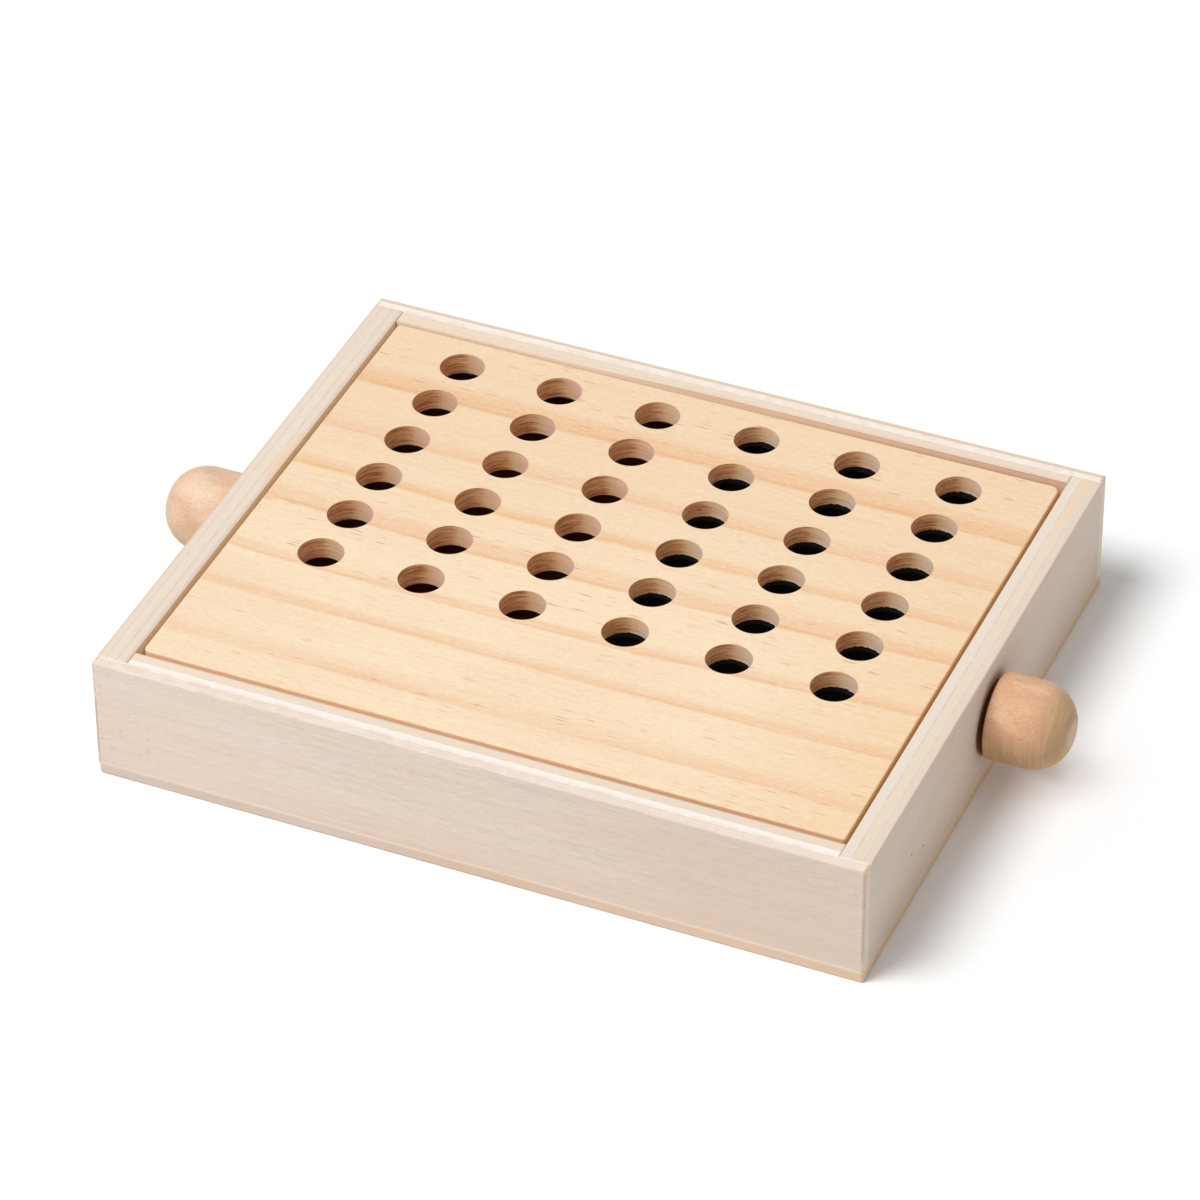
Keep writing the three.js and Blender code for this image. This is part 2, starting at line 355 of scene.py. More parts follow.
def corner_outline(corners, radii, inset):
    """A closed outline with square corners, moved inward, each corner an arc.

    With outward normals a and b of the edges before and after a corner p, an outer corner's
    arc runs about p - (inset + r)(a + b) with radius r = radius - inset, and an inner
    corner's about p + radius (a + b) with radius + inset. The spoke turns from a to b. A
    point on each side of the arc holds the flat edge flat. Returns points and arc marks.
    """
    corners = np.asarray(corners, float)
    radii = np.broadcast_to(np.asarray(radii, float), len(corners))
    after = np.roll(corners, -1, 0) - corners
    after /= np.linalg.norm(after, axis=1, keepdims=True)
    before = np.roll(after, 1, 0)
    out_after = np.stack([after[:, 1], -after[:, 0]], 1)
    out_before = np.roll(out_after, 1, 0)
    outer = before[:, 0] * after[:, 1] - before[:, 1] * after[:, 0] > 0
    arc = np.where(outer, np.maximum(radii - inset, 0.02), radii + inset)
    shift = np.where(outer, inset + arc, -radii)
    centre = corners - shift[:, None] * (out_before + out_after)
    angle = np.linspace(0, QUARTER, ARC_STEPS + 1)[None, :, None]
    spoke = out_before[:, None] * np.cos(angle) + out_after[:, None] * np.sin(angle)
    signed = np.where(outer, arc, -arc)[:, None, None]
    points = centre[:, None] + signed * spoke
    first = points[:, :1] - HOLD * before[:, None]
    last = points[:, -1:] + HOLD * after[:, None]
    marks = np.ones((len(corners), ARC_STEPS + 3))
    marks[:, [0, -1]] = 0
    return np.concatenate([first, points, last], 1).reshape(-1, 2), marks.ravel()


def soft_prism(corners, radii, low, high, low_arris, high_arris):
    """An outline carried from low to high, with all its edges eased.

    Ring i is the outline moved inward by the edge profile's inset i, at its height i; the
    first and last rings are closed flat. Columns are the outline's two axes and the height.
    """
    inset, height, rounded = edge_profile(low, high, low_arris, high_arris)
    outlines = [corner_outline(corners, radii, value) for value in inset]
    points = at_heights(np.stack([flat for flat, _ in outlines]), height)
    arris = np.maximum(rounded[:, None], outlines[0][1][None, :])
    return points, tube_faces(*arris.shape), {"arris": arris}


def turned(radius, height, sides):
    """A profile carried round an axis: point (i, j) = (h i, r i cos a j, r i sin a j)."""
    angle = np.arange(sides) * 2 * math.pi / sides
    along = np.broadcast_to(height[:, None], (len(height), sides))
    points = np.stack([along, radius[:, None] * np.cos(angle),
                       radius[:, None] * np.sin(angle)], -1)
    return points.reshape(-1, 3), tube_faces(len(radius), sides)


def grid_of(u, v):
    """Points on every crossing of two sets of lines."""
    return np.stack(np.meshgrid(u, v, indexing="ij"), -1)


def grid_border(grid):
    """A grid's border points, anticlockwise from its first corner."""
    return np.concatenate([grid[:-1, 0], grid[-1, :-1], grid[:0:-1, -1], grid[0, :0:-1]])


def pierced_plate(half, corner, arris, rim, low, high, lines, cells, radius):
    """A plate with one round hole in the middle of each cell, with all its edges eased.

    The flats are a grid on the given lines. Its outer zone is stretched to the plate's
    corner: a corner point d from the corner's centre goes to max(d) times d's direction.
    The corner radius is one number, or one for each side and, within it, each end.
    In a cell, ring points run from the cell's border to the hole, then over the rim, down
    the wall and back, the same way on the underside. Columns are the two axes and height.
    The marks are for eased edges and for hole walls.
    """
    half = np.asarray(half, float)
    corner = np.broadcast_to(np.asarray(corner, float), (2, 2))

    def cornered(flat, inset):
        """Stretch the outer zone to this inset and round the corners."""
        size, sign = np.abs(flat), np.where(flat < 0, -1.0, 1.0)
        side = (sign > 0).astype(int)
        core = half - corner[side[..., 0], side[..., 1]][..., None]
        reach = half - inset - core
        d = np.maximum(size - core, 0) / (half - arris - core) * reach
        length = np.maximum(np.linalg.norm(d, axis=-1, keepdims=True), 1e-9)
        d = d.max(-1, keepdims=True) * d / length
        return sign * (np.minimum(size, core) + d)

    # Flats: every grid quad outside the block of cells
    grid = grid_of(*lines)
    index = np.arange(grid[..., 0].size).reshape(grid.shape[:2])
    quads = np.stack([index[:-1, :-1], index[1:, :-1], index[1:, 1:], index[:-1, 1:]], -1)
    middle = (grid[:-1, :-1] + grid[1:, 1:]) / 2
    first, last = ([cell[end] for cell in cells] for end in (0, -1))
    quads = quads[~((middle > first) & (middle < last)).all(-1)]
    patches = [(at_heights(cornered(grid, arris), [height] * len(grid)), quads, 0, 0)
               for height in (low, high)]

    # Outer edge: the border of the flats carried round both edges
    border = grid_border(grid)
    inset, height, rounded = (values[1:-1] for values in edge_profile(low, high, arris, arris))
    rings = np.stack([cornered(border, value) for value in inset])
    patches.append((at_heights(rings, height), band_faces(len(inset), len(border)),
                    np.repeat(rounded, len(border)), 0))

    # Cells: rings beside and inside the hole, from above down
    side = np.linspace(0, 1, HOLE_SIDE_STEPS + 1)
    loop = grid_border(grid_of(side, side))
    inset, height, rounded = edge_profile(low, high, rim, rim)
    ring_radius = (radius + inset)[:, None, None]
    level = np.concatenate([[high, high], height[::-1], [low, low]])
    eased = np.pad(rounded, 2)
    # The wall's mark starts on the upper rim's last ring and laps over the lower rim
    bored = np.zeros(len(level))
    bored[ARC_STEPS + 3:ARC_STEPS + 8] = 1
    faces = band_faces(len(level), len(loop))
    for u0, u1 in zip(cells[0][:-1], cells[0][1:]):
        for v0, v1 in zip(cells[1][:-1], cells[1][1:]):
            outer = loop * [u1 - u0, v1 - v0] + [u0, v0]
            centre = np.array([(u0 + u1) / 2, (v0 + v1) / 2])
            way = outer - centre
            way /= np.linalg.norm(way, axis=1, keepdims=True)
            circles = centre + ring_radius * way
            half_way = (outer + circles[0]) / 2
            flat = np.concatenate([[outer, half_way], circles, [half_way, outer]])
            patches.append((at_heights(flat, level), faces,
                            np.repeat(eased, len(loop)), np.repeat(bored, len(loop))))

    counts = [len(patch[0]) for patch in patches]
    starts = np.cumsum(counts) - counts
    faces = np.concatenate([patch[1] + start for patch, start in zip(patches, starts)])
    marks = {key: np.concatenate([np.broadcast_to(patch[place], count)
                                  for patch, count in zip(patches, counts)])
             for key, place in (("arris", 2), ("bore", 3))}
    return np.concatenate([patch[0] for patch in patches]), faces.tolist(), marks


def cell_lines(cells, extra, half, arris, corner):
    """Grid lines on the cells' borders, at the corner's start, near the edge and at extras."""
    within = [np.linspace(a, b, HOLE_SIDE_STEPS + 1) for a, b in zip(cells[:-1], cells[1:])]
    edge = half - arris
    outer = np.concatenate([[edge, edge - HOLD], half - np.ravel(corner)])
    lines = np.concatenate([*within, outer, -outer, extra])
    return np.unique(np.round(lines, 6))


# Shader fields


class Field:
    """A value or a colour that changes over a surface: one output of a shader node.

    Fields stand in sums like numbers, and each sum adds its math node to their tree.
    """

    # With this set, a numpy number leaves a sum to the field
    __array_ufunc__ = None

    def __init__(self, socket):
        self.socket, self.tree = socket, socket.id_data

    def __add__(self, other):
        return maths("ADD", self, other)

    def __sub__(self, other):
        return maths("SUBTRACT", self, other)

    def __rsub__(self, other):
        return maths("SUBTRACT", other, self)

    def __mul__(self, other):
        return maths("MULTIPLY", self, other)

    def __truediv__(self, other):
        return maths("DIVIDE", self, other)

    def __abs__(self):
        return maths("ABSOLUTE", self)

    def ranged(self, low, high, first=0.0, last=1.0):
        """Carried smoothly from one range to another, and level beyond its ends."""
        return output_of(self.tree, "ShaderNodeMapRange",
                         {0: self, 1: low, 2: high, 3: first, 4: last},
                         interpolation_type="SMOOTHSTEP")

    def within(self, start, stop, blur=0.25):
        """Nought up to start, one from there plus blur to stop, nought past stop plus blur."""
        return self.ranged(start, start + blur) * self.ranged(stop + blur, stop)


def add_node(tree, kind, sockets=(), **settings):
    """A node of this kind, its sockets filled with values or fed by fields."""
    node = tree.nodes.new(kind)
    for key, value in settings.items():
        setattr(node, key, value)
    for key, value in dict(sockets).items():
        if isinstance(value, Field):
            tree.links.new(value.socket, node.inputs[key])
        else:
            node.inputs[key].default_value = value
    return node


def output_of(tree, kind, sockets=(), output=0, **settings):
    """One output of a new node, as a field."""
    return Field(add_node(tree, kind, sockets, **settings).outputs[output])


def tree_of(*values):
    """The tree of the first field among these values."""
    return next(value.tree for value in values if isinstance(value, Field))


def maths(operation, *values):
    """One math node's value, from fields and numbers."""
    return output_of(tree_of(*values), "ShaderNodeMath", dict(enumerate(values)),
                     operation=operation)


def vector_maths(operation, first, second):
    """One vector math node's value."""
    return output_of(first.tree, "ShaderNodeVectorMath", {0: first, 1: second},
                     operation=operation)


def distance(a, b):
    """How far off a place is, from its two offsets: the root of their squares' sum."""
    return maths("SQRT", a * a + b * b)


def axes(vector):
    """A vector field's three values."""
    node = add_node(vector.tree, "ShaderNodeSeparateXYZ", {0: vector})
    return [Field(socket) for socket in node.outputs]


def blend(share, first, second):
    """The first colour with a share of the second in it."""
    colours = [colour if isinstance(colour, Field) else (*colour, 1.0)
               for colour in (first, second)]
    return output_of(tree_of(share, first, second), "ShaderNodeMix",
                     {0: share, 6: colours[0], 7: colours[1]}, output=2, data_type="RGBA")


def shade(colour, factor):
    """The same colour, lighter or darker."""
    return tuple(min(1.0, part * factor) for part in colour)


def band_ramp(place, stops):
    """A ramp of greys across the board, each stop a place in millimetres and a grey."""
    share = (place + BAND_REACH) / (2 * BAND_REACH)
    node = add_node(place.tree, "ShaderNodeValToRGB", {0: share})
    elements = node.color_ramp.elements
    while len(elements) < len(stops):
        elements.new(0.5)
    for element, (value, grey) in zip(elements, sorted(stops)):
        element.position = (value + BAND_REACH) / (2 * BAND_REACH)
        element.color = (grey, grey, grey, 1)
    return Field(node.outputs[0])


def noise(place, scale, detail=2.0, roughness=0.5):
    """A noise texture's value; scale is a number for each axis, per millimetre."""
    return output_of(place.tree, "ShaderNodeTexNoise", {
        "Vector": vector_maths("MULTIPLY", place, scale), "Scale": 1.0,
        "Detail": detail, "Roughness": roughness})


def mark(tree, name):
    """A piece's mark of this name."""
    return output_of(tree, "ShaderNodeAttribute", output="Fac", attribute_name=name)


# Shared effects: each takes its group's inputs and returns its outputs


def wood_fibre(place):
    """Fibres: noise drawn out along the grain, as streaks, flecks, hairs and a broad mottle.

    Place is in millimetres with the grain along its first axis.
    """
    return (noise(place, (0.022, 0.55, 0.55), 4.0, 0.6),
            noise(place, (0.4, 1.35, 1.35), 4.0, 0.72),
            noise(place, (0.16, 3.6, 3.6), 3.0, 0.65),
            noise(place, (0.012, 0.03, 0.03)))


def growth_lines(place, shift):
    """Growth lines of a flat sawn board, sharp on one side and fading on the other.

    The lines are a ramp over the place across the grain, bent by a shallow sag in the
    middle and by noise, and carried along as the place goes deeper, so that they show as
    near-level lines on the walls of a hole.
    """
    x, y, z = axes(place)
    along = (x - SAG_X) / SAG_REACH
    off = (y - SAG_Y) / SAG_WIDTH
    sag = (1.0 - along * along) * maths("EXPONENT", off * off * -1.0) * SAG_DEPTH
    wander = ((noise(place, (0.014, 0.04, 0.04)) - 0.5) * 3.5
              + (noise(place, (0.07, 0.2, 0.2)) - 0.5) * 1.1)
    across = y + sag + wander - (PLATE_HIGH[2] - z) * LINES_LEAN + shift
    across = maths("WRAP", across, BAND_REACH, -BAND_REACH)
    fade, line = [], []
    for start, strength, length in GROWTH_LINES:
        rise = [(start - 0.3, 0.0), (start + 0.15, strength)]
        fade += rise + [(start + 0.55 * length, 0.72 * strength), (start + length, 0.0)]
        line += rise + [(start + 0.9, 0.35 * strength), (start + 2.6, 0.0)]
    return band_ramp(across, fade), band_ramp(across, line)


def short_dashes(place, cells, amount):
    """Short dashes along the grain: drawn out cells, a few of them filled.

    A cell's filled spot is where the distance to its point is under a radius of its own.
    Only cells with a high random value are filled, and only where the clusters' noise is
    high. Tone is a random number for each cell.
    """
    bend = output_of(place.tree, "ShaderNodeCombineXYZ", {
        1: noise(place, (0.12, 0.12, 0.12), 1.0)})
    drawn_out = vector_maths("MULTIPLY", vector_maths("ADD", place, bend), cells)
    cell = add_node(place.tree, "ShaderNodeTexVoronoi", {"Vector": drawn_out, "Scale": 1.0})
    pick = add_node(place.tree, "ShaderNodeSeparateColor", {
        0: Field(cell.outputs["Color"])})
    chance, size, tone = (Field(socket) for socket in pick.outputs)
    spot = (Field(cell.outputs["Distance"]) / (size * 0.3 + 0.16)).ranged(1.0, 0.55)
    cluster = noise(place, (0.035, 0.1, 0.1), 1.0).ranged(0.41, 0.53)
    return spot * chance.ranged(0.7, 0.76) * (cluster * amount), tone


def channel_shade(place):
    """Where a place lies in the board's channels: the product of one range per side."""
    x, y, z = axes(place)
    sideways = abs(x).ranged(CHANNEL_HALF_SPAN + 0.4, CHANNEL_HALF_SPAN + 0.1)
    foot = y.ranged(CHANNEL_END - 0.5, CHANNEL_END - 0.2)
    mouth = y.ranged(PLATE_HIGH[1] - 0.5, PLATE_HIGH[1] - 1.4)
    rear = z.ranged(REAR_HIGH[2] - 3.0, REAR_HIGH[2] - 2.2)
    face = z.ranged(PLATE_LOW[2] + 0.5, PLATE_LOW[2] + 0.15)
    return (sideways * foot * mouth * rear * face,)


def arris_wear(place):
    """Handled edges: the eased edges' mark, broken up by noise."""
    patches = noise(place, (0.25, 0.25, 0.25), 4.0, 0.7).ranged(0.35, 0.65)
    return (mark(place.tree, "arris") * patches,)


EFFECTS = (
    (wood_fibre, {"Place": "Vector"}, ("Streak", "Fleck", "Fine", "Mottle")),
    (growth_lines, {"Place": "Vector", "Shift": "Float"}, ("Late", "Line")),
    (short_dashes, {"Place": "Vector", "Cells": "Vector", "Amount": "Float"},
     ("Dash", "Tone")),
    (channel_shade, {"Place": "Vector"}, ("Dark",)),
    (arris_wear, {"Place": "Vector"}, ("Wear",)),
)


def build_groups():
    """Make each shared effect once, as a node group under its function's name."""
    for effect, inputs, outputs in EFFECTS:
        tree = bpy.data.node_groups.new(effect.__name__, "ShaderNodeTree")
        for label, kind in inputs.items():
            tree.interface.new_socket(label, in_out="INPUT",
                                      socket_type=f"NodeSocket{kind}")
        for label in outputs:
            tree.interface.new_socket(label, in_out="OUTPUT", socket_type="NodeSocketFloat")
        given, result = tree.nodes.new("NodeGroupInput"), tree.nodes.new("NodeGroupOutput")
        fields = effect(*(Field(given.outputs[label]) for label in inputs))
        for label, field in zip(outputs, fields):
            tree.links.new(field.socket, result.inputs[label])


def use_group(effect, **sockets):
    """Place a shared effect's group, fill its inputs and return its outputs in order."""
    node = add_node(sockets["Place"].tree, "ShaderNodeGroup", sockets,
                    node_tree=bpy.data.node_groups[effect.__name__])
    outputs = [Field(socket) for socket in node.outputs]
    return outputs if len(outputs) > 1 else outputs[0]


# Materials


class Coat:
    """A colour built up in layers, each blended over the ones before it."""

    def __init__(self, colour):
        self.colour = colour

    def paint(self, share, colour):
        """Lay a share of a colour over the coat."""
        self.colour = blend(share, self.colour, colour)

    def tint(self, pattern, low, high, most, colour):
        """Lay a colour over the coat, from none at the pattern's low to most at its high."""
        self.paint(pattern.ranged(low, high, 0.0, most), colour)


class Wood(Coat):
    """A wooden surface in the making: its colour so far and the fields that shape it.

    Place is the object's own in millimetres, and grain is place turned so that the grain
    runs along the first axis.
    """

    def __init__(self, name, colour, turn=0.0):
        super().__init__(colour)
        self.material = bpy.data.materials.new(name)
        self.tree = empty_tree(self.material)
        where = output_of(self.tree, "ShaderNodeTexCoord", output="Object")
        self.place = self.grain = output_of(self.tree, "ShaderNodeMapping", {
            "Vector": where, "Scale": (1 / MM,) * 3})
        if turn:
            self.grain = output_of(self.tree, "ShaderNodeMapping", {
                "Vector": self.place, "Rotation": (0, 0, turn)})
        self.x, self.y, self.z = axes(self.place)
        self.streak, self.fleck, self.fine, self.mottle = use_group(
            wood_fibre, Place=self.grain)

    def facing(self):
        """The surface normal's three values."""
        return axes(output_of(self.tree, "ShaderNodeNewGeometry", output="Normal"))

    def wear(self, most, colour):
        """Lay a colour over the handled edges."""
        self.paint(use_group(arris_wear, Place=self.place) * most, colour)

    def roughness(self, low, high):
        """Roughness that follows the fine fibres."""
        return self.fine.ranged(0.2, 0.8, low, high)

    def finish(self, roughness, height, strength, specular=0.35):
        """Wire colour, roughness and a bump from the height, and return the material."""
        bump = output_of(self.tree, "ShaderNodeBump", {
            "Strength": strength, "Distance": BUMP_DEPTH, "Height": height})
        shader = output_of(self.tree, "ShaderNodeBsdfPrincipled", {
            "Base Color": self.colour, "Roughness": roughness,
            "Specular IOR Level": specular, "Normal": bump})
        add_node(self.tree, "ShaderNodeOutputMaterial", {0: shader})
        return self.material


def empty_tree(owner):
    """The node tree of a new material or world, with nothing in it."""
    owner.use_nodes = True
    owner.node_tree.nodes.clear()
    return owner.node_tree


def pine_material(settings, name, shift, plain=False):
    """Pine with growth lines, resin dashes, fine fibres and darker cut walls, which are
    painted lighter where lit and darker where in shade; the channels are painted dark as
    shade.

    Shift moves the growth lines across. A plain plate, which hardly shows, has even dashes and
    no painted shade past its holes' pale lip.
    """
    wood = Wood(name, settings.pale)
    late, line = use_group(growth_lines, Place=wood.grain, Shift=shift)
    dash, tone = use_group(short_dashes, Place=wood.grain, Cells=(0.11, 1.45, 0.02),
                           Amount=0.4 if plain else band_ramp(wood.y, DASH_BANDS))
    wood.tint(wood.mottle, 0.42, 0.64, 0.5, srgb(247, 218, 186))
    wood.tint(wood.x, 50.0, 118.0, 0.5, srgb(240, 205, 160))
    wood.tint(wood.y, -40.0, 60.0, 0.7, srgb(240, 210, 174))
    wood.tint(wood.streak, 0.45, 0.75, 0.22, settings.line)
    wood.paint(late * wood.streak.ranged(0.3, 0.62, 0.62, 0.95), settings.line)
    # A streak of yellow runs beside one line, as far as the fifth column
    yellow = wood.x.ranged(72.0, 50.0) * abs(wood.y - 13.5).ranged(6.0, 3.0)
    thin = line * wood.streak.ranged(0.35, 0.6, 0.2, 0.7) + yellow * line * 0.4
    wood.paint(thin, blend(yellow, srgb(226, 166, 112), srgb(238, 178, 92)))
    wood.tint(wood.fleck, 0.48, 0.7, 0.34, srgb(232, 192, 152))
    wood.tint(wood.fleck, 0.5, 0.32, 0.34, srgb(255, 240, 216))
    wood.tint(wood.fine, 0.4, 0.8, 0.15, shade(settings.line, 0.9))
    wood.paint(dash * 0.9, blend(tone, settings.resin, srgb(220, 166, 112)))

    facing = wood.facing()
    depth = PLATE_HIGH[2] - wood.z
    paint_plate_edges(wood, facing, depth)
    wall, cut, over = hole_wall(wood, facing[0], depth, line)
    bore = mark(wood.tree, "bore")
    wood.paint(bore, wall.colour)
    wood.wear(0.4, srgb(232, 186, 142))
    # The channels, and the walls past their pale lip, are painted dark as shade: near black on
    # the right, red-brown on the left
    dark = use_group(channel_shade, Place=wood.place)
    if not plain:
        dark = maths("MAXIMUM", dark, bore * over.ranged(0.0, 0.12))
    wood.paint(dark, blend(wood.x.ranged(1.0, -1.0), srgb(16, 10, 8), settings.hollow))
    rough = maths("MAXIMUM", wood.roughness(0.5, 0.68) + bore * 0.2, dark)
    height = wood.fine * 0.5 + wood.fleck * 0.5 + line * 0.4 + cut * bore * 1.6
    return wood.finish(rough, height, 0.3)


def paint_plate_edges(wood, facing, depth):
    """The plates' edges: long grain in front and behind, end grain left and right. The end
    grain is painted pale, as lit, where it faces left, and darker, as in shade, where it faces
    right, more so further down.
    """
    wood.tint(abs(facing[1]), 0.3, 0.75, 0.8, srgb(255, 212, 176))
    # Painted light and shade: end grain facing left is pale, facing right darker, and darker
    # still further down
    shaded_right_end = blend(depth.ranged(0.5, 1.6), srgb(250, 214, 172), srgb(226, 186, 132))
    wood.tint(abs(facing[0]), 0.4, 0.85, 0.85,
              blend(facing[0].ranged(-0.3, 0.3), srgb(255, 242, 218), shaded_right_end))


def hole_wall(wood, facing_x, depth, line):
    """The holes' cut walls: their colour, the turning lines and the depth past their end.

    The wall is painted pale, as lit, where it faces left, and painted darker, as in shade,
    where it faces right, and only there does it show torn marks.
    """
    # Painted light and shade: walls that face left are lit pale, walls that face right are
    # shaded darker
    lit_facing, shaded_facing = facing_x.ranged(0.15, -0.55), facing_x.ranged(-0.05, 0.6)
    wall = Coat(blend(shaded_facing, srgb(255, 216, 166), srgb(255, 194, 136)))
    wall.paint(lit_facing, blend(wood.x.ranged(-40.0, 50.0), srgb(255, 214, 190),
                                srgb(250, 222, 198)))
    cut = noise(wood.place, (0.08, 0.08, 1.9), 4.0, 0.65)
    wall.paint(cut.ranged(0.48, 0.62, 0.0, 0.9) * shaded_facing.ranged(0.0, 0.8, 0.2, 0.9),
               srgb(192, 112, 64))
    torn = noise(wood.place, (0.4, 0.4, 1.3), 3.0, 0.6)
    wall.paint(torn.ranged(0.5, 0.62, 0.0, 0.42) * shaded_facing, srgb(186, 108, 66))
    wall.tint(cut, 0.47, 0.36, 0.6, srgb(255, 230, 190))
    wall.paint(line * 0.55, srgb(196, 124, 78))
    # The wall ends in a pale lip, a painted highlight where it faces left, deeper down in the
    # left columns than in the right ones; past it the wall is painted dark as shade
    ragged = noise(wood.place, (1.1, 1.1, 0.2), 3.0) * 1.2 - 0.35
    over = depth - (wood.x.ranged(-1.0, 1.0, LEFT_SHADE_DEPTH, RIGHT_SHADE_DEPTH) - ragged)
    wall.paint(facing_x.ranged(0.45, -0.2) * over.ranged(-1.0, -0.5, 0.0, 0.85),
               srgb(255, 236, 218))
    return wall, cut, over


def wall_plywoods(settings):
    """Each wall's plywood, with the layers and glue lines that show along its top."""
    core, inner = settings.core, settings.inner
    edges = {
        "back": (((0.2, 1.7, 0.8, srgb(224, 202, 178)), (1.8, 4.9, 0.8, core),
                  (4.95, 10.1, 0.6, srgb(236, 218, 194))),
                 ((4.95, 0.4), (8.1, 0.3))),
        "front": (((0.2, 3.2, 0.6, srgb(244, 231, 218)), (3.3, 6.5, 0.9, core),
                   (6.55, 10.1, 0.6, inner)),
                  ((3.3, 0.2), (6.6, 0.4))),
        "left": (((0.2, 2.8, 0.5, srgb(236, 220, 204)), (3.0, 6.4, 0.45, srgb(239, 224, 204)),
                  (6.9, 10.1, 0.6, srgb(236, 219, 201)),
                  (-0.3, 0.45, 0.6, srgb(222, 184, 152))),
                 ((2.9, 0.35), (6.6, 0.4))),
        "right": (((0.2, 2.8, 0.6, srgb(228, 211, 194)), (3.0, 6.4, 0.55, srgb(233, 218, 192)),
                   (6.9, 10.1, 0.6, srgb(235, 225, 211)),
                   (-0.3, 0.4, 0.4, srgb(216, 180, 154))),
                  ((2.9, 0.3), (6.6, 0.4))),
    }
    return {name: plywood_material(settings, name, *edge) for name, edge in edges.items()}


def plywood_material(settings, name, layers, glue_lines):
    """A wall's birch plywood: a grained veneer, with its layers showing along its top.

    Depth is how far a place lies in from the wall's outer face, with a little wander. Each
    layer has a start, a stop, a share and a colour, each glue line a depth and a share.
    """
    if name in ("front", "back"):
        axis = LONG
        wood = Wood(f"birch_plywood_{name}", settings.veneer)
        across, along = wood.y, abs(wood.x)
    else:
        axis = SIDE
        wood = Wood(f"birch_plywood_{name}", shade(settings.veneer, 0.955), turn=-QUARTER)
        across, along = wood.x, abs(wood.y)
    facing = wood.facing()
    upward = abs(facing[2]).ranged(0.5, 0.8)
    wander = (noise(wood.grain, (0.03, 0.1, 0.1), 3.0) - 0.5) * 0.5
    depth = BOX_HIGH[axis] - abs(across) + wander
    paint_veneer(wood, axis)
    for start, stop, most, colour in layers:
        wood.paint(depth.within(start, stop) * (upward * most), colour)
    broken = noise(wood.grain, (0.4, 0.4, 0.4), 3.0, 0.7).ranged(0.35, 0.6)
    for glue, most in glue_lines:
        wood.paint(abs(depth - glue).ranged(0.28, 0.08, 0.0, most) * broken,
                   srgb(194, 168, 148))

    # The face towards the board
    inward = depth.ranged(10.1, 10.35) * abs(facing[2]).ranged(0.9, 0.6)
    if axis == SIDE:
        rub_side_edges(wood, depth, upward)
        wood.paint(inward * along.ranged(99.4, 98.8), srgb(255, 224, 188))
    else:
        wood.paint(inward, blend(wood.x.ranged(-50.0, 110.0), srgb(255, 244, 222),
                                 srgb(238, 206, 176)))
        rub_long_edges(wood, depth, facing[2], upward)

    # End grain, and the glue line on the bottom sheet
    wood.tint(abs(facing[1 - axis]), 0.6, 0.9, 0.8, srgb(250, 236, 216))
    wood.tint(wood.z, BOX_HIGH[2] + 0.75, BOX_HIGH[2] + 0.35, 0.6, srgb(250, 236, 216))
    # Fine checks in the veneer, thickest towards the ends
    checks, _ = use_group(short_dashes, Place=wood.grain, Cells=(0.3, 2.2, 2.2),
                          Amount=along.ranged(92.0, 126.0, 0.25, 1.0))
    wood.paint(checks * 0.5, srgb(196, 152, 134))
    if axis == SIDE:
        shade_behind_knob(wood)
        paint_face_flecks(wood)
    else:
        rub_corners(wood, along)
    wood.wear(0.3, srgb(222, 190, 162))
    height = wood.fine + wood.fleck * 0.6 - checks * 0.8
    return wood.finish(wood.roughness(0.6, 0.75), height, 0.25)


def paint_veneer(wood, axis):
    """The veneer's clouds, streaks, flecks and fibres, fainter on the side walls."""
    strength = 1.0 if axis == LONG else 0.7
    tone = noise(wood.grain, (0.008, 0.05, 0.05))
    for pattern, low, high, most, colour in (
            (tone, 0.42, 0.65, 0.45, srgb(232, 208, 188)),
            (tone, 0.5, 0.3, 0.3, srgb(240, 228, 214)),
            (noise(wood.grain, (0.009, 0.16, 0.16)), 0.52, 0.66, 0.34, srgb(234, 206, 166)),
            (noise(wood.grain, (0.02, 0.3, 0.3), 3.0, 0.6), 0.54, 0.78, 0.36,
             srgb(230, 192, 168)),
            (noise(wood.grain, (0.03, 0.22, 0.22), 3.0, 0.6), 0.55, 0.8, 0.3,
             srgb(216, 200, 186)),
            (wood.streak, 0.42, 0.75, 0.32, srgb(212, 190, 170)),
            (wood.fleck, 0.5, 0.75, 0.28, srgb(208, 184, 164)),
            (wood.fleck, 0.48, 0.28, 0.42, srgb(252, 242, 230)),
            (wood.fine, 0.42, 0.72, 0.34, srgb(196, 172, 154))):
        wood.tint(pattern, low, high, most * strength, colour)
    # Painted shade: the veneer darkens towards the bottom
    wood.tint(wood.z, 20.0, 4.0, 0.35, srgb(226, 200, 180))
    if axis == LONG:
        wood.tint(wood.x, -30.0, 110.0, 0.35, srgb(221, 203, 190))
        wood.tint(wood.x, -20.0, -110.0, 0.3, srgb(254, 238, 224))


def rub_side_edges(wood, depth, upward):
    """Rubbed and stained places along the side walls' tops."""
    left, right = wood.x.ranged(1.0, -1.0), wood.x.ranged(-1.0, 1.0)
    # The left wall's inner edge is rubbed greyish, with an orange patch in its middle
    wood.paint(depth.ranged(8.9, 9.5, 0.0, 0.75) * left * upward, srgb(222, 200, 184))
    patch = abs(wood.y - 14.0).ranged(20.0, 6.0, 0.0, 0.7) * (depth.ranged(7.0, 8.6) * left)
    wood.paint(patch * upward, srgb(242, 204, 168))
    # The right wall's middle layer turns orange towards the back
    stained = wood.y.ranged(68.0, 84.0, 0.0, 0.4) * right
    wood.paint(stained * (depth.within(3.0, 6.3, 0.3) * upward), srgb(244, 206, 168))


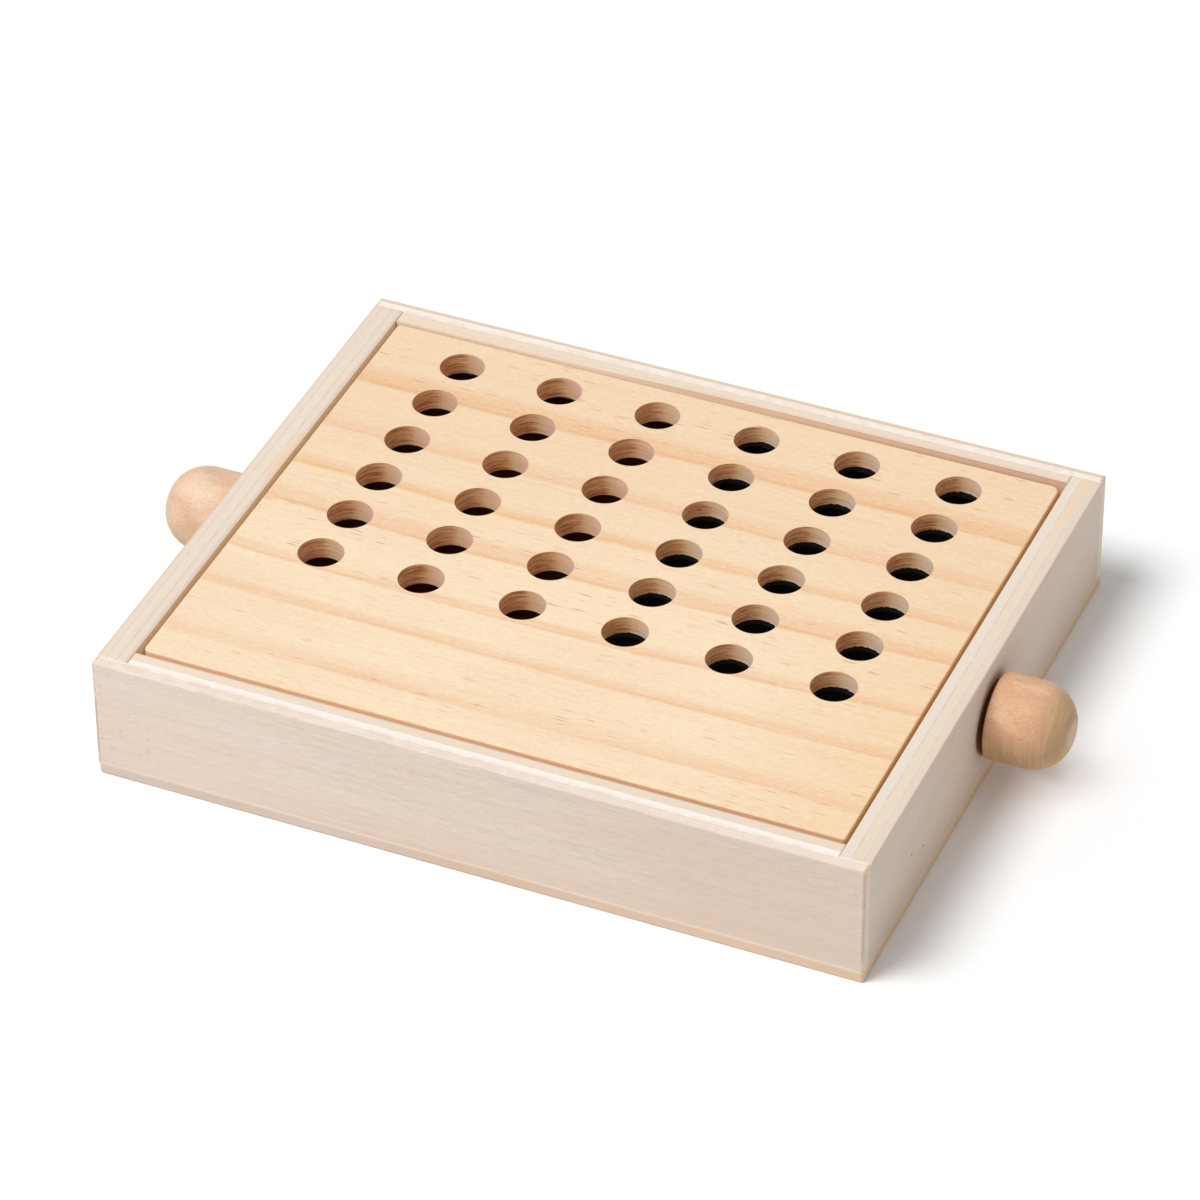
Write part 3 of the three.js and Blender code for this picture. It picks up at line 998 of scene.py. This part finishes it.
def rub_long_edges(wood, depth, lift, upward):
    """Worn inner edges: the back wall's more and more to the right, the front wall's less."""
    start = wood.x.ranged(-70.0, 10.0, 9.95, 8.7)
    worn = (depth - start).ranged(-0.15, 0.3) * lift.ranged(0.1, 0.45)
    pinkish = Coat(srgb(240, 204, 174))
    pinkish.tint(wood.x, -80.0, -5.0, 1.0, srgb(215, 171, 141))
    pinkish.tint(wood.x, 10.0, 120.0, 1.0, srgb(198, 152, 130))
    wood.paint(worn * wood.y.ranged(-1.0, 1.0), pinkish.colour)
    rubbed = depth.ranged(9.55, 10.0, 0.0, 0.6) * wood.y.ranged(1.0, -1.0)
    wood.paint(rubbed * upward, srgb(226, 186, 156))


def rub_corners(wood, along):
    """Rubbed upright corners of the long walls, and torn veneer beside them."""
    from_end = abs(along - (BOX_HIGH[0] - 0.5))
    ragged = noise(wood.place, (0.3, 0.3, 0.12), 3.0).ranged(0.35, 0.6)
    wood.paint(from_end.ranged(0.6, 0.2) * ragged * 0.65, srgb(204, 154, 130))
    torn = noise(wood.grain, (0.5, 1.6, 1.6), 4.0, 0.7).ranged(0.58, 0.66, 0.0, 0.8)
    wood.paint(torn * along.ranged(128.0, 131.0), srgb(252, 236, 214))


def shade_behind_knob(wood):
    """Behind the knob hardly any light gets in, and what does has been over brown wood.

    The shade is where the knob closes the wall in, within its outline drawn out upwards.
    """
    up = wood.z - AXIS_HEIGHT
    away = distance(wood.y - AXIS_SETBACK, up) + up.ranged(-6.0, 12.0, 0.0, 4.0)
    covered = output_of(wood.tree, "ShaderNodeAmbientOcclusion", {"Distance": 7 * MM},
                        output="AO", samples=12)
    wood.paint(covered.ranged(0.5, 0.36) * away.ranged(15.9, 14.7, 0.0, 0.94),
               srgb(158, 84, 40))


def paint_face_flecks(wood):
    """The few dark flecks on the right face."""
    for fleck_y, fleck_z in FACE_FLECKS:
        near = distance(wood.y - fleck_y, wood.z - fleck_z)
        wood.paint(near.ranged(0.8, 0.3, 0.0, 0.75) * wood.x.ranged(132.0, 132.3),
                   srgb(146, 122, 108))


def sheet_material(settings):
    """The bottom sheet: three thin layers by height, darker than the walls."""
    wood = Wood("floor_plywood", settings.sheet)
    wood.paint(wood.z.within(1.0, 2.75), shade(settings.sheet, 0.93))
    wood.tint(wood.mottle, 0.4, 0.7, 0.5, srgb(226, 188, 146))
    wood.tint(wood.streak, 0.35, 0.75, 0.4, srgb(206, 176, 152))
    wood.tint(wood.fine, 0.35, 0.8, 0.3, srgb(196, 164, 140))
    wood.wear(0.35, srgb(204, 174, 152))
    # The sheet is greyish on the left and more yellow towards the right and on its end
    wood.paint(0.4, blend(wood.x.ranged(-60.0, 80.0), srgb(222, 206, 198),
                          srgb(230, 196, 158)))
    wood.tint(wood.facing()[0], 0.4, 0.8, 0.6, srgb(252, 214, 170))
    wood.tint(wood.z, 3.55, 3.8, 0.5, srgb(248, 230, 206))
    return wood.finish(wood.roughness(0.65, 0.8), wood.fine, 0.3)


def strip_material(settings):
    """Strips of darker pine, painted dark as shade where they lie in a channel, made once."""
    if "strip_pine" in bpy.data.materials:
        return bpy.data.materials["strip_pine"]
    wood = Wood("strip_pine", shade(settings.pale, 0.9))
    wood.tint(wood.streak, 0.35, 0.7, 1.0, shade(settings.line, 0.95))
    wood.tint(wood.fine, 0.3, 0.8, 0.35, shade(settings.line, 0.8))
    wood.paint(use_group(channel_shade, Place=wood.place), settings.hollow)
    return wood.finish(wood.roughness(0.6, 0.75), wood.fine, 0.3)


def knob_material(settings):
    """Turned hardwood: fine flecks, long mottled bands and faint turning rings."""
    wood = Wood("turned_knob", settings.knob)
    left = wood.x.ranged(1.0, -1.0)
    wood.paint(left, settings.knob_pale)
    cloud = noise(wood.grain, (0.07, 0.16, 0.16), 4.0, 0.6)
    wood.tint(cloud, 0.38, 0.66, 0.55, srgb(212, 160, 124))
    wood.tint(cloud, 0.5, 0.3, 0.5, srgb(240, 204, 172))
    fleck = noise(wood.grain, (0.7, 2.2, 2.2), 4.0, 0.75)
    wood.tint(fleck, 0.5, 0.72, 0.6, srgb(196, 142, 106))
    wood.tint(fleck, 0.48, 0.3, 0.4, srgb(246, 212, 182))
    # Towards the dome the end grain is olive, partly its own colour and partly painted shade,
    # with the turning rings as fine lines; below, the olive is painted shade. The paler left
    # knob, lit by the lamps, gets less of both
    facing = wood.facing()
    outward = abs(facing[0])
    end_grain = outward.ranged(0.12, 0.72, 0.0, 0.85)
    lower = facing[2].ranged(0.65, -0.2, 0.0, 0.8)
    olive = Coat(srgb(205, 169, 126))
    olive.tint(noise(wood.place, (0.85, 0.06, 0.06)), 0.4, 0.62, 1.0, srgb(191, 155, 111))
    olive.tint(fleck, 0.5, 0.72, 0.3, srgb(172, 134, 96))
    wood.paint(maths("MAXIMUM", end_grain, lower) * left.ranged(0.0, 1.0, 1.0, 0.35),
               olive.colour)
    wood.tint(outward, 0.962, 0.982, 0.7, srgb(228, 190, 170))
    # Painted shade: the underside goes orange-brown
    wood.tint(facing[2], -0.3, -0.85, 0.75, srgb(212, 158, 114))
    # Painted shade in the gap: the foot's face towards the wall is dark brown
    inward = facing[0] * wood.x.ranged(-1.0, 1.0, 1.0, -1.0)
    wood.tint(inward, 0.25, 0.8, 0.8, srgb(170, 96, 52))
    return wood.finish(fleck.ranged(0.2, 0.8, 0.45, 0.65), fleck + wood.fine, 0.2,
                       specular=0.4)


def dowel_material(settings):
    """Straight-grained dowel wood."""
    wood = Wood("dowel", settings.dowel)
    wood.tint(wood.streak, 0.3, 0.7, 1.0, shade(settings.dowel, 0.86))
    wood.tint(wood.fine, 0.35, 0.8, 0.5, shade(settings.dowel, 0.72))
    return wood.finish(wood.roughness(0.45, 0.65), wood.fine, 0.3)


def disc_material(name, colour, spread):
    """Disc wood: streaks along the grain, clouded by a slow change from disc to disc."""
    wood = Wood(name, shade(colour, 1 + spread), turn=0.3)
    cloud = noise(wood.place, (0.045, 0.045, 0.045), 1.0)
    wood.tint(cloud, 0.35, 0.65, 1.0, shade(colour, 1 - spread))
    wood.tint(wood.streak, 0.35, 0.7, 0.5, shade(colour, 0.72))
    wood.tint(wood.fine, 0.4, 0.8, 0.5, shade(colour, 0.6))
    wood.wear(0.3, shade(colour, 1.25))
    return wood.finish(wood.roughness(0.38, 0.55), wood.fine, 0.25, specular=0.45)


def floor_material(settings):
    """A white floor that keeps the shadow; the camera sees its lit part as plain white."""
    material = bpy.data.materials.new("studio_floor")
    tree = empty_tree(material)
    plain = output_of(tree, "ShaderNodeBsdfDiffuse", {0: (*settings.floor, 1)})
    bright = output_of(tree, "ShaderNodeBsdfDiffuse", {0: FLOOR_WHITE})
    seen = output_of(tree, "ShaderNodeLightPath", output="Is Camera Ray")
    mix = output_of(tree, "ShaderNodeMixShader", {0: seen, 1: plain, 2: bright})
    add_node(tree, "ShaderNodeOutputMaterial", {0: mix})
    return material


# Pieces


def make_bar(node, suffix, material, body, corner, low_arris, high_arris):
    """A plain bar in the place of a CAD node, with its edges eased."""
    low, high = node_box(node)
    shape = soft_prism(rectangle(low, high), corner, low[2], high[2], low_arris, high_arris)
    make_piece(f"{node}_{suffix}", shape, material, body, "strip_pine", node)


def make_box(settings):
    """The plywood box: bottom sheet, long panels with tongues, side panels and ledges."""
    arris, corner = settings.arris / MM, settings.corner / MM
    plywood = wall_plywoods(settings)
    sheet = soft_prism(
        rectangle(BOX_LOW, BOX_HIGH), [settings.worn_corner / MM] + [SHEET_EDGE] * 3,
        BOX_LOW[2], BOX_HIGH[2] + JOINT_LAP, SHEET_EDGE, HIDDEN_EDGE)
    make_piece("bottom_sheet", sheet, sheet_material(settings), "box", "floor_plywood",
               "bottom_panel")

    # Long panels: the outline seen from above, with a tongue at each end
    end, face = BOX_HIGH[0], BOX_HIGH[1]
    tongue, back = face - TONGUE_THICKNESS, face - PANEL_THICKNESS
    shoulder = end - PANEL_THICKNESS
    outline = np.array([
        (end, face), (-end, face), (-end, tongue), (-shoulder, tongue),
        (-shoulder, back), (shoulder, back), (shoulder, tongue), (end, tongue)])
    radii = [corner] * 2 + [TIGHT_EDGE] * 6
    for name, turn in (("back", 1), ("front", -1)):
        shape = soft_prism(outline * turn, radii, BOX_HIGH[2], SIDE_HIGH[2], TIGHT_EDGE, arris)
        make_piece(f"{name}_wall", shape, plywood[name], "box", "birch_plywood",
                   f"{name}_panel")

    # Side panels: drawn across and up, then stood on edge, each with its dowel's bore
    half = np.array([SIDE_HIGH[1] + JOINT_LAP, (SIDE_HIGH[2] - BOX_HIGH[2]) / 2])
    middle_z = (SIDE_HIGH[2] + BOX_HIGH[2]) / 2
    cell_half, side_corner, side_arris, bore_rim = 8, 0.6, 0.2, 0.3
    cells = [[middle - cell_half, middle + cell_half]
             for middle in (AXIS_SETBACK, AXIS_HEIGHT - middle_z)]
    lines = [cell_lines(cell, [], size, side_arris, side_corner)
             for cell, size in zip(cells, half)]
    flat, faces, marks = pierced_plate(
        half, side_corner, side_arris, bore_rim, end - SIDE_PANEL_THICKNESS, end,
        lines, cells, BORE_RADIUS)
    for name, side in (("left", -1), ("right", 1)):
        points = np.stack([side * flat[:, 2], flat[:, 0], flat[:, 1] + middle_z], -1)
        make_piece(f"{name}_wall", (points, faces, marks), plywood[name], "box",
                   "birch_plywood", f"{name}_panel")

    strip = strip_material(bpy.context.scene.row_game_board)
    for node in ("front_ledge", "back_ledge"):
        make_bar(node, "strip", strip, "box", LEDGE_EDGE, TIGHT_EDGE, LEDGE_EDGE)


def make_board(settings):
    """The pine plates with their holes, the strips between them and a few torn fibres."""
    arris, rim = settings.arris / MM, settings.rim / MM
    corner = np.array(CORNER_SHARES) * settings.corner / MM
    half = (PLATE_HIGH[:2] - PLATE_LOW[:2]) / 2
    middle_y = (PLATE_HIGH[1] + PLATE_LOW[1]) / 2
    left = -COLUMN_PITCH * COLUMNS / 2
    bottom = FIRST_ROW - (ROWS - 0.5) * ROW_PITCH - middle_y
    cells = (left + COLUMN_PITCH * np.arange(COLUMNS + 1),
             bottom + ROW_PITCH * np.arange(ROWS + 1))
    bore_v = BORE_ABOVE_FOOT - half[1]
    core_half = (PLATE_LOW[2] - REAR_HIGH[2]) / 2
    groove_half = math.sqrt(BORE_RADIUS ** 2 - core_half ** 2)
    # Extra grid lines hold the grooves' ends and sides, and divide the plain part
    groove_start = np.array([-1, 1]) * (half[0] - BORE_DEPTH)
    beside_start = groove_start * 0.997
    across_groove = bore_v + groove_half * np.linspace(-1, 1, 11)
    plain_part = [-48, -56, -64, -88]
    extras = ([*groove_start, *beside_start], [*across_groove, *plain_part])
    lines = [cell_lines(cell, extra, size, arris, corner)
             for cell, extra, size in zip(cells, extras, half)]
    for name, node, material, low, high in (
            ("board_face", "face_plate", pine_material(settings, "board_pine", 0.0),
             PLATE_LOW[2], PLATE_HIGH[2]),
            ("board_rear", "rear_plate", pine_material(settings, "rear_pine", 47.0, True),
             REAR_LOW[2], REAR_HIGH[2])):
        points, faces, marks = pierced_plate(
            half, corner, arris, rim, low, high, lines, cells, HOLE_RADIUS)
        # The dowels' bores leave a shallow groove in the inner face near each end
        off = points[:, 1] - bore_v
        groove = np.sqrt(np.maximum(BORE_RADIUS ** 2 - off ** 2, 0)) - core_half
        groove = np.where(np.abs(points[:, 0]) > half[0] - BORE_DEPTH - 0.01,
                          np.maximum(groove, 0), 0)
        if node == "face_plate":
            points[:, 2] = np.maximum(points[:, 2], low + groove)
        else:
            points[:, 2] = np.minimum(points[:, 2], high - groove)
        points[:, 1] += middle_y
        make_piece(name, (points, faces, marks), material, "board", "board_pine", node)

    strip = strip_material(settings)
    for node in ("left_strip", "right_strip",
                 *(f"divider_{number}" for number in range(1, COLUMNS))):
        make_bar(node, "bar", strip, "board", BAR_CORNER, BAR_EDGE, BAR_EDGE)
    make_fibres(strip)
    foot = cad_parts["foot_strip"]
    foot.data.materials.clear()
    foot.data.materials.append(strip)


def make_fibres(wood):
    """Torn fibres on a few rims: a thin tapering tube along a curling path.

    A path starts on a hole's rim at its angle and runs inward and down, (inward t,
    down t squared), turning aside by a share of t squared. Ring i is a circle about it
    whose radius shrinks evenly with t.
    """
    sides, steps = 5, 8
    t = np.linspace(0, 1, steps)[:, None]
    turn = np.arange(sides) * 2 * math.pi / sides
    radius = FIBRE_RADIUS * (1 - FIBRE_TAPER * t)
    points, faces = [], []
    for column, row, angle, length, lift, aside in TORN_FIBRES:
        centre = np.array([(column - (COLUMNS - 1) / 2) * COLUMN_PITCH,
                           FIRST_ROW - row * ROW_PITCH])
        out = np.array([math.cos(angle), math.sin(angle)])
        along = np.array([-out[1], out[0]])
        flat = centre + out * (HOLE_RADIUS + FIBRE_RADIUS) - out * length * FIBRE_REACH * t
        flat = flat + along * length * aside * t ** 2
        height = PLATE_HIGH[2] - FIBRE_START + lift * t - length * FIBRE_DROP * t ** 2
        path = np.concatenate([flat, height], 1)
        ring = np.stack([
            radius * np.cos(turn) * along[0], radius * np.cos(turn) * along[1],
            radius * np.sin(turn)], -1)
        faces += tube_faces(steps, sides, len(points) * steps * sides)
        points.append((path[:, None] + ring).reshape(-1, 3))
    make_piece("torn_fibres", (np.concatenate(points), faces, {}), wood, "board",
               "board_pine")


def make_pegs(settings):
    """Turned knobs with their dowels, on one axis at each end of the box."""
    length = KNOB_HIGH[0] - KNOB_LOW[0]
    dome_start = length - DOME_LENGTH
    t = np.linspace(0, QUARTER, DOME_STEPS + 1)
    foot_in, foot_along = round_over(KNOB_FOOT_EDGE, ROUND_STEPS)
    knob_radius = np.concatenate([
        [POLE_RADIUS, BORE_RADIUS, BORE_RADIUS, BORE_RADIUS + HOLD,
         KNOB_RADIUS - KNOB_FOOT_EDGE - HOLD],
        KNOB_RADIUS - foot_in, [KNOB_RADIUS],
        TIP_RADIUS + (KNOB_RADIUS - TIP_RADIUS) * np.cos(t), [POLE_RADIUS]])
    knob_height = np.concatenate([
        [KNOB_BORE_DEPTH] * 2, [0] * 3, foot_along, [dome_start / 2],
        dome_start + DOME_LENGTH * np.sin(t), [length]])
    radius = (DOWEL_HIGH[2] - DOWEL_LOW[2]) / 2
    end = DOWEL_HIGH[0] - DOWEL_LOW[0]
    tip_in, tip_along = round_over(DOWEL_TIP_EDGE)
    dowel_radius = np.concatenate([
        [POLE_RADIUS], radius - tip_in, [radius, radius, POLE_RADIUS]])
    dowel_height = np.concatenate([[0], tip_along, [DOWEL_TIP_EDGE + 0.5, end, end]])
    parts = (
        ("knob", "turned_knob", knob_material(settings), KNOB_LOW[0],
         turned(knob_radius, knob_height, KNOB_SIDES)),
        ("dowel", "dowel", dowel_material(settings), DOWEL_LOW[0],
         turned(dowel_radius, dowel_height, ROD_SIDES)))
    for name, side in (("left", -1), ("right", 1)):
        for kind, slot, wood, start, (points, faces) in parts:
            points = (points + [start, AXIS_SETBACK, AXIS_HEIGHT]) * [side, 1, 1]
            make_piece(f"{name}_peg_{kind}", (points, faces, {}), wood, f"{name}_peg", slot,
                       f"{name}_{kind}")


def make_discs(settings):
    """The 36 playing discs: a flat disc with a well rounded edge, turned upright."""
    rounding = settings.rounding / MM
    low, high = node_box("light_disc_01")
    radius, thickness = (high[1] - low[1]) / 2, high[2] - low[2]
    edge_in, edge_up = round_over(rounding, ROUND_STEPS)
    flat_radius = [POLE_RADIUS, radius - rounding - HOLD]
    ring_radius = np.concatenate([
        flat_radius, radius - edge_in, radius - edge_in[::-1], flat_radius[::-1]])
    ring_height = np.concatenate([
        [0, 0], edge_up, thickness - edge_up[::-1], [thickness, thickness]])
    eased = np.repeat(np.pad(np.ones(2 * ROUND_STEPS + 2), 2), ROD_SIDES)
    flat, faces = turned(ring_radius, ring_height, ROD_SIDES)
    upright = np.stack([flat[:, 1], flat[:, 2], flat[:, 0]], -1)
    for kind, colour, spread in (("light", settings.light, 0.05),
                                 ("dark", settings.dark, 0.2)):
        wood = disc_material(f"{kind}_disc", colour, spread)
        for number in range(1, COLUMNS * ROWS // 2 + 1):
            node = f"{kind}_disc_{number:02d}"
            low, high = node_box(node)
            centre = (low + high) / 2
            points = upright + [centre[0], centre[1], low[2]]
            make_piece(f"{kind}_piece_{number:02d}", (points, faces, {"arris": eased}), wood,
                       node, f"{kind}_disc", node)


def make_stage(settings):
    """Floor, even light from all around, two lamps from one direction and the camera."""
    scene = bpy.context.scene
    scene.view_settings.view_transform = "Standard"
    mesh = bpy.data.meshes.new("studio_floor")
    reach = FLOOR_REACH * MM
    corners = rectangle((-reach, -reach), (reach, reach))
    mesh.from_pydata([(*corner, FLOOR_LEVEL * MM) for corner in corners], [],
                     [(0, 1, 2, 3)])
    mesh.materials.append(floor_material(settings))
    floor = bpy.data.objects.new("studio_floor", mesh)
    scene.collection.objects.link(floor)

    scene.world = bpy.data.worlds.new("studio_light")
    tree = empty_tree(scene.world)
    path = add_node(tree, "ShaderNodeLightPath").outputs
    camera, glossy, through = (Field(path[f"Is {kind} Ray"])
                               for kind in ("Camera", "Glossy", "Transmission"))
    seen = maths("MAXIMUM", camera, maths("MAXIMUM", glossy, through))
    sky = output_of(tree, "ShaderNodeBackground", {0: WHITE, 1: settings.sky})
    white = output_of(tree, "ShaderNodeBackground", {0: WHITE, 1: 1.0})
    mix = output_of(tree, "ShaderNodeMixShader", {0: seen, 1: sky, 2: white})
    add_node(tree, "ShaderNodeOutputWorld", {0: mix})

    # The photo's knobs hardly shade the floor, so only a share of the light meets them
    passed = bpy.data.collections.new("passed_by_soft_light")
    for side in ("left", "right"):
        passed.objects.link(bpy.data.objects[f"{side}_peg_knob"])
    for member in passed.collection_objects:
        member.light_linking.link_state = "EXCLUDE"
    for name, share in (("key_lamp", settings.knob_shade),
                        ("soft_key_lamp", 1 - settings.knob_shade)):
        lamp = bpy.data.lights.new(name, "SUN")
        lamp.angle = settings.key_spread
        lamp.energy = settings.key * share * math.pi
        key = bpy.data.objects.new(name, lamp)
        key.location = KEY_WAY
        key.rotation_euler = key.location.to_track_quat("Z", "Y").to_euler()
        scene.collection.objects.link(key)
    key.light_linking.blocker_collection = passed

    camera = bpy.data.objects.new("camera", bpy.data.cameras.new("camera"))
    camera.data.lens = settings.lens
    camera.data.sensor_width = 36.0
    camera.data.clip_start, camera.data.clip_end = 0.05, 20.0
    camera.location = settings.camera_place
    camera.rotation_euler = settings.camera_turn
    scene.collection.objects.link(camera)
    scene.camera = camera


# Operators


class ROWGAME_OT_box(bpy.types.Operator):
    """Build the plywood box."""

    bl_idname = "row_game.box"
    bl_label = "Box"

    def execute(self, context):
        make_box(context.scene.row_game_box)
        return {"FINISHED"}


class ROWGAME_OT_board(bpy.types.Operator):
    """Build the game board."""

    bl_idname = "row_game.board"
    bl_label = "Game board"

    def execute(self, context):
        make_board(context.scene.row_game_board)
        return {"FINISHED"}


class ROWGAME_OT_pegs(bpy.types.Operator):
    """Build the knobs and their dowels."""

    bl_idname = "row_game.pegs"
    bl_label = "Pegs"

    def execute(self, context):
        make_pegs(context.scene.row_game_pegs)
        return {"FINISHED"}


class ROWGAME_OT_discs(bpy.types.Operator):
    """Build the playing discs."""

    bl_idname = "row_game.discs"
    bl_label = "Discs"

    def execute(self, context):
        make_discs(context.scene.row_game_discs)
        return {"FINISHED"}


class ROWGAME_OT_stage(bpy.types.Operator):
    """Build the floor, the light and the camera."""

    bl_idname = "row_game.stage"
    bl_label = "Stage"

    def execute(self, context):
        make_stage(context.scene.row_game_stage)
        return {"FINISHED"}


class ROWGAME_PT_panel(bpy.types.Panel):
    """The game's pieces, each with its settings."""

    bl_label = "Four in a row"
    bl_idname = "ROWGAME_PT_panel"
    bl_space_type = "VIEW_3D"
    bl_region_type = "UI"
    bl_category = "Game"

    def draw(self, context):
        for name in SETTINGS:
            box = self.layout.box()
            box.operator(name.replace("game_", "game."))
            settings = getattr(context.scene, name)
            for key in settings.bl_rna.properties.keys():
                if key not in {"rna_type", "name"}:
                    box.prop(settings, key)


SETTINGS = {
    "row_game_box": BoxSettings,
    "row_game_board": BoardSettings,
    "row_game_pegs": PegSettings,
    "row_game_discs": DiscSettings,
    "row_game_stage": StageSettings,
}
CLASSES = (
    *SETTINGS.values(), ROWGAME_OT_box, ROWGAME_OT_board, ROWGAME_OT_pegs, ROWGAME_OT_discs,
    ROWGAME_OT_stage, ROWGAME_PT_panel,
)


def register():
    """Register the classes and hang the settings on the scene."""
    for item in CLASSES:
        bpy.utils.register_class(item)
    for name, group in SETTINGS.items():
        setattr(bpy.types.Scene, name, bpy.props.PointerProperty(type=group))


def unregister():
    """Take the settings and the classes away again."""
    for name in SETTINGS:
        delattr(bpy.types.Scene, name)
    for item in reversed(CLASSES):
        bpy.utils.unregister_class(item)


def main():
    register()
    build_groups()
    bpy.ops.row_game.box()
    bpy.ops.row_game.board()
    bpy.ops.row_game.pegs()
    bpy.ops.row_game.discs()
    bpy.ops.row_game.stage()
    bpy.context.view_layer.update()


if __name__ == "__main__":
    main()
